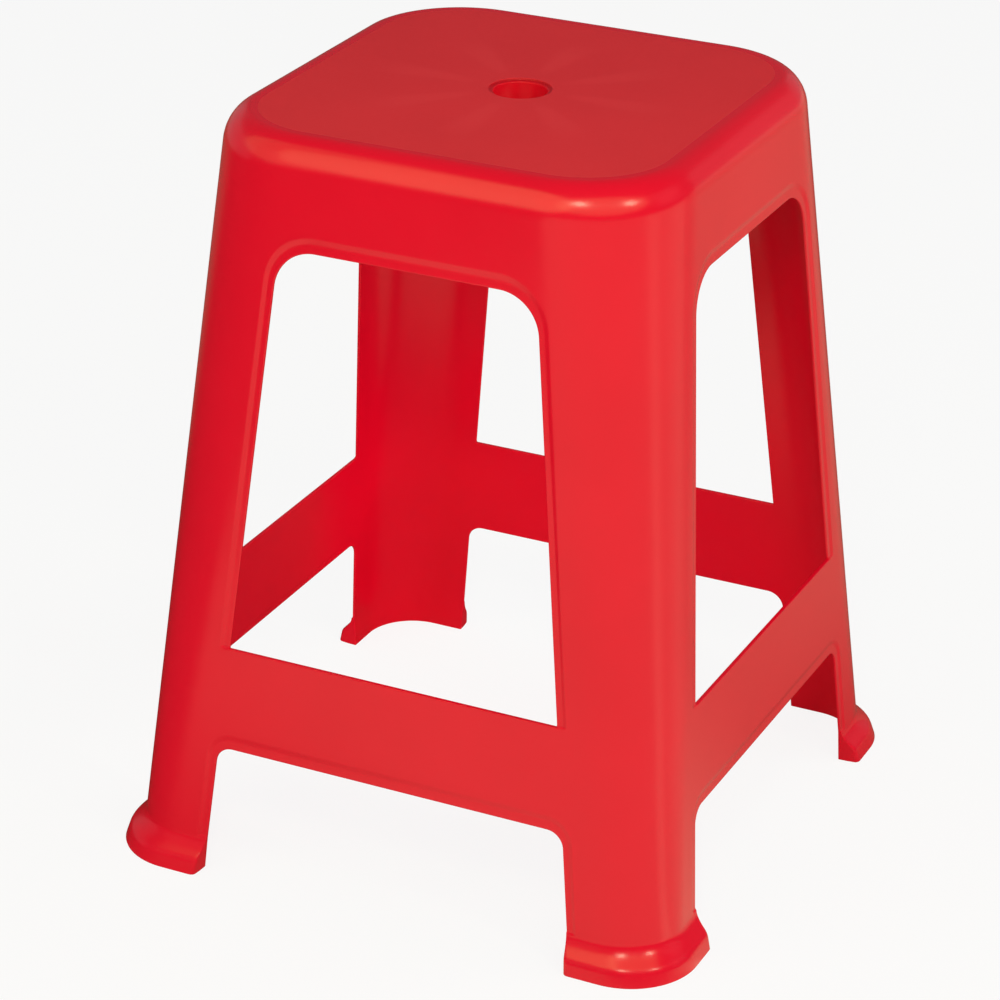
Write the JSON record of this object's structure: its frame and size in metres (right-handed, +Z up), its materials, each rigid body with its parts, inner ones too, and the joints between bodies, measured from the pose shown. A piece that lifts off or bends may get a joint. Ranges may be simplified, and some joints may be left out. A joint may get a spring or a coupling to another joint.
{
  "type": "stacking stool",
  "caption": "Square red plastic stool with a finger hole in the seat, open windows over low stretchers and flared feet, tapered so that it stacks.",
  "frame": {"origin": "on the floor, at the middle of the four feet", "axes": "+Z up out of the seat, -Y towards the front, +X to the right"},
  "size_m": [0.3682, 0.3682, 0.45],
  "materials": {
    "seat_matt_red": "fine matt texture on the flat of the seat, gloss on its rolled rim",
    "skin_gloss_red": "smooth moulded gloss"
  },
  "bodies": {
    "root": {"seat_panel": "seat_matt_red", "finger_hole_collar": "skin_gloss_red", "seat_rib_front": "skin_gloss_red", "apron_front": "skin_gloss_red", "stretcher_front": "skin_gloss_red", "seat_rib_right": "skin_gloss_red", "apron_right": "skin_gloss_red", "stretcher_right": "skin_gloss_red", "seat_rib_back": "skin_gloss_red", "apron_back": "skin_gloss_red", "stretcher_back": "skin_gloss_red", "seat_rib_left": "skin_gloss_red", "apron_left": "skin_gloss_red", "stretcher_left": "skin_gloss_red", "stacking_rib_front_left": "skin_gloss_red", "leg_front_left": "skin_gloss_red", "foot_front_left": "skin_gloss_red", "stacking_rib_front_right": "skin_gloss_red", "leg_front_right": "skin_gloss_red", "foot_front_right": "skin_gloss_red", "stacking_rib_back_right": "skin_gloss_red", "leg_back_right": "skin_gloss_red", "foot_back_right": "skin_gloss_red", "stacking_rib_back_left": "skin_gloss_red", "leg_back_left": "skin_gloss_red", "foot_back_left": "skin_gloss_red"}
  },
  "joints": []
}
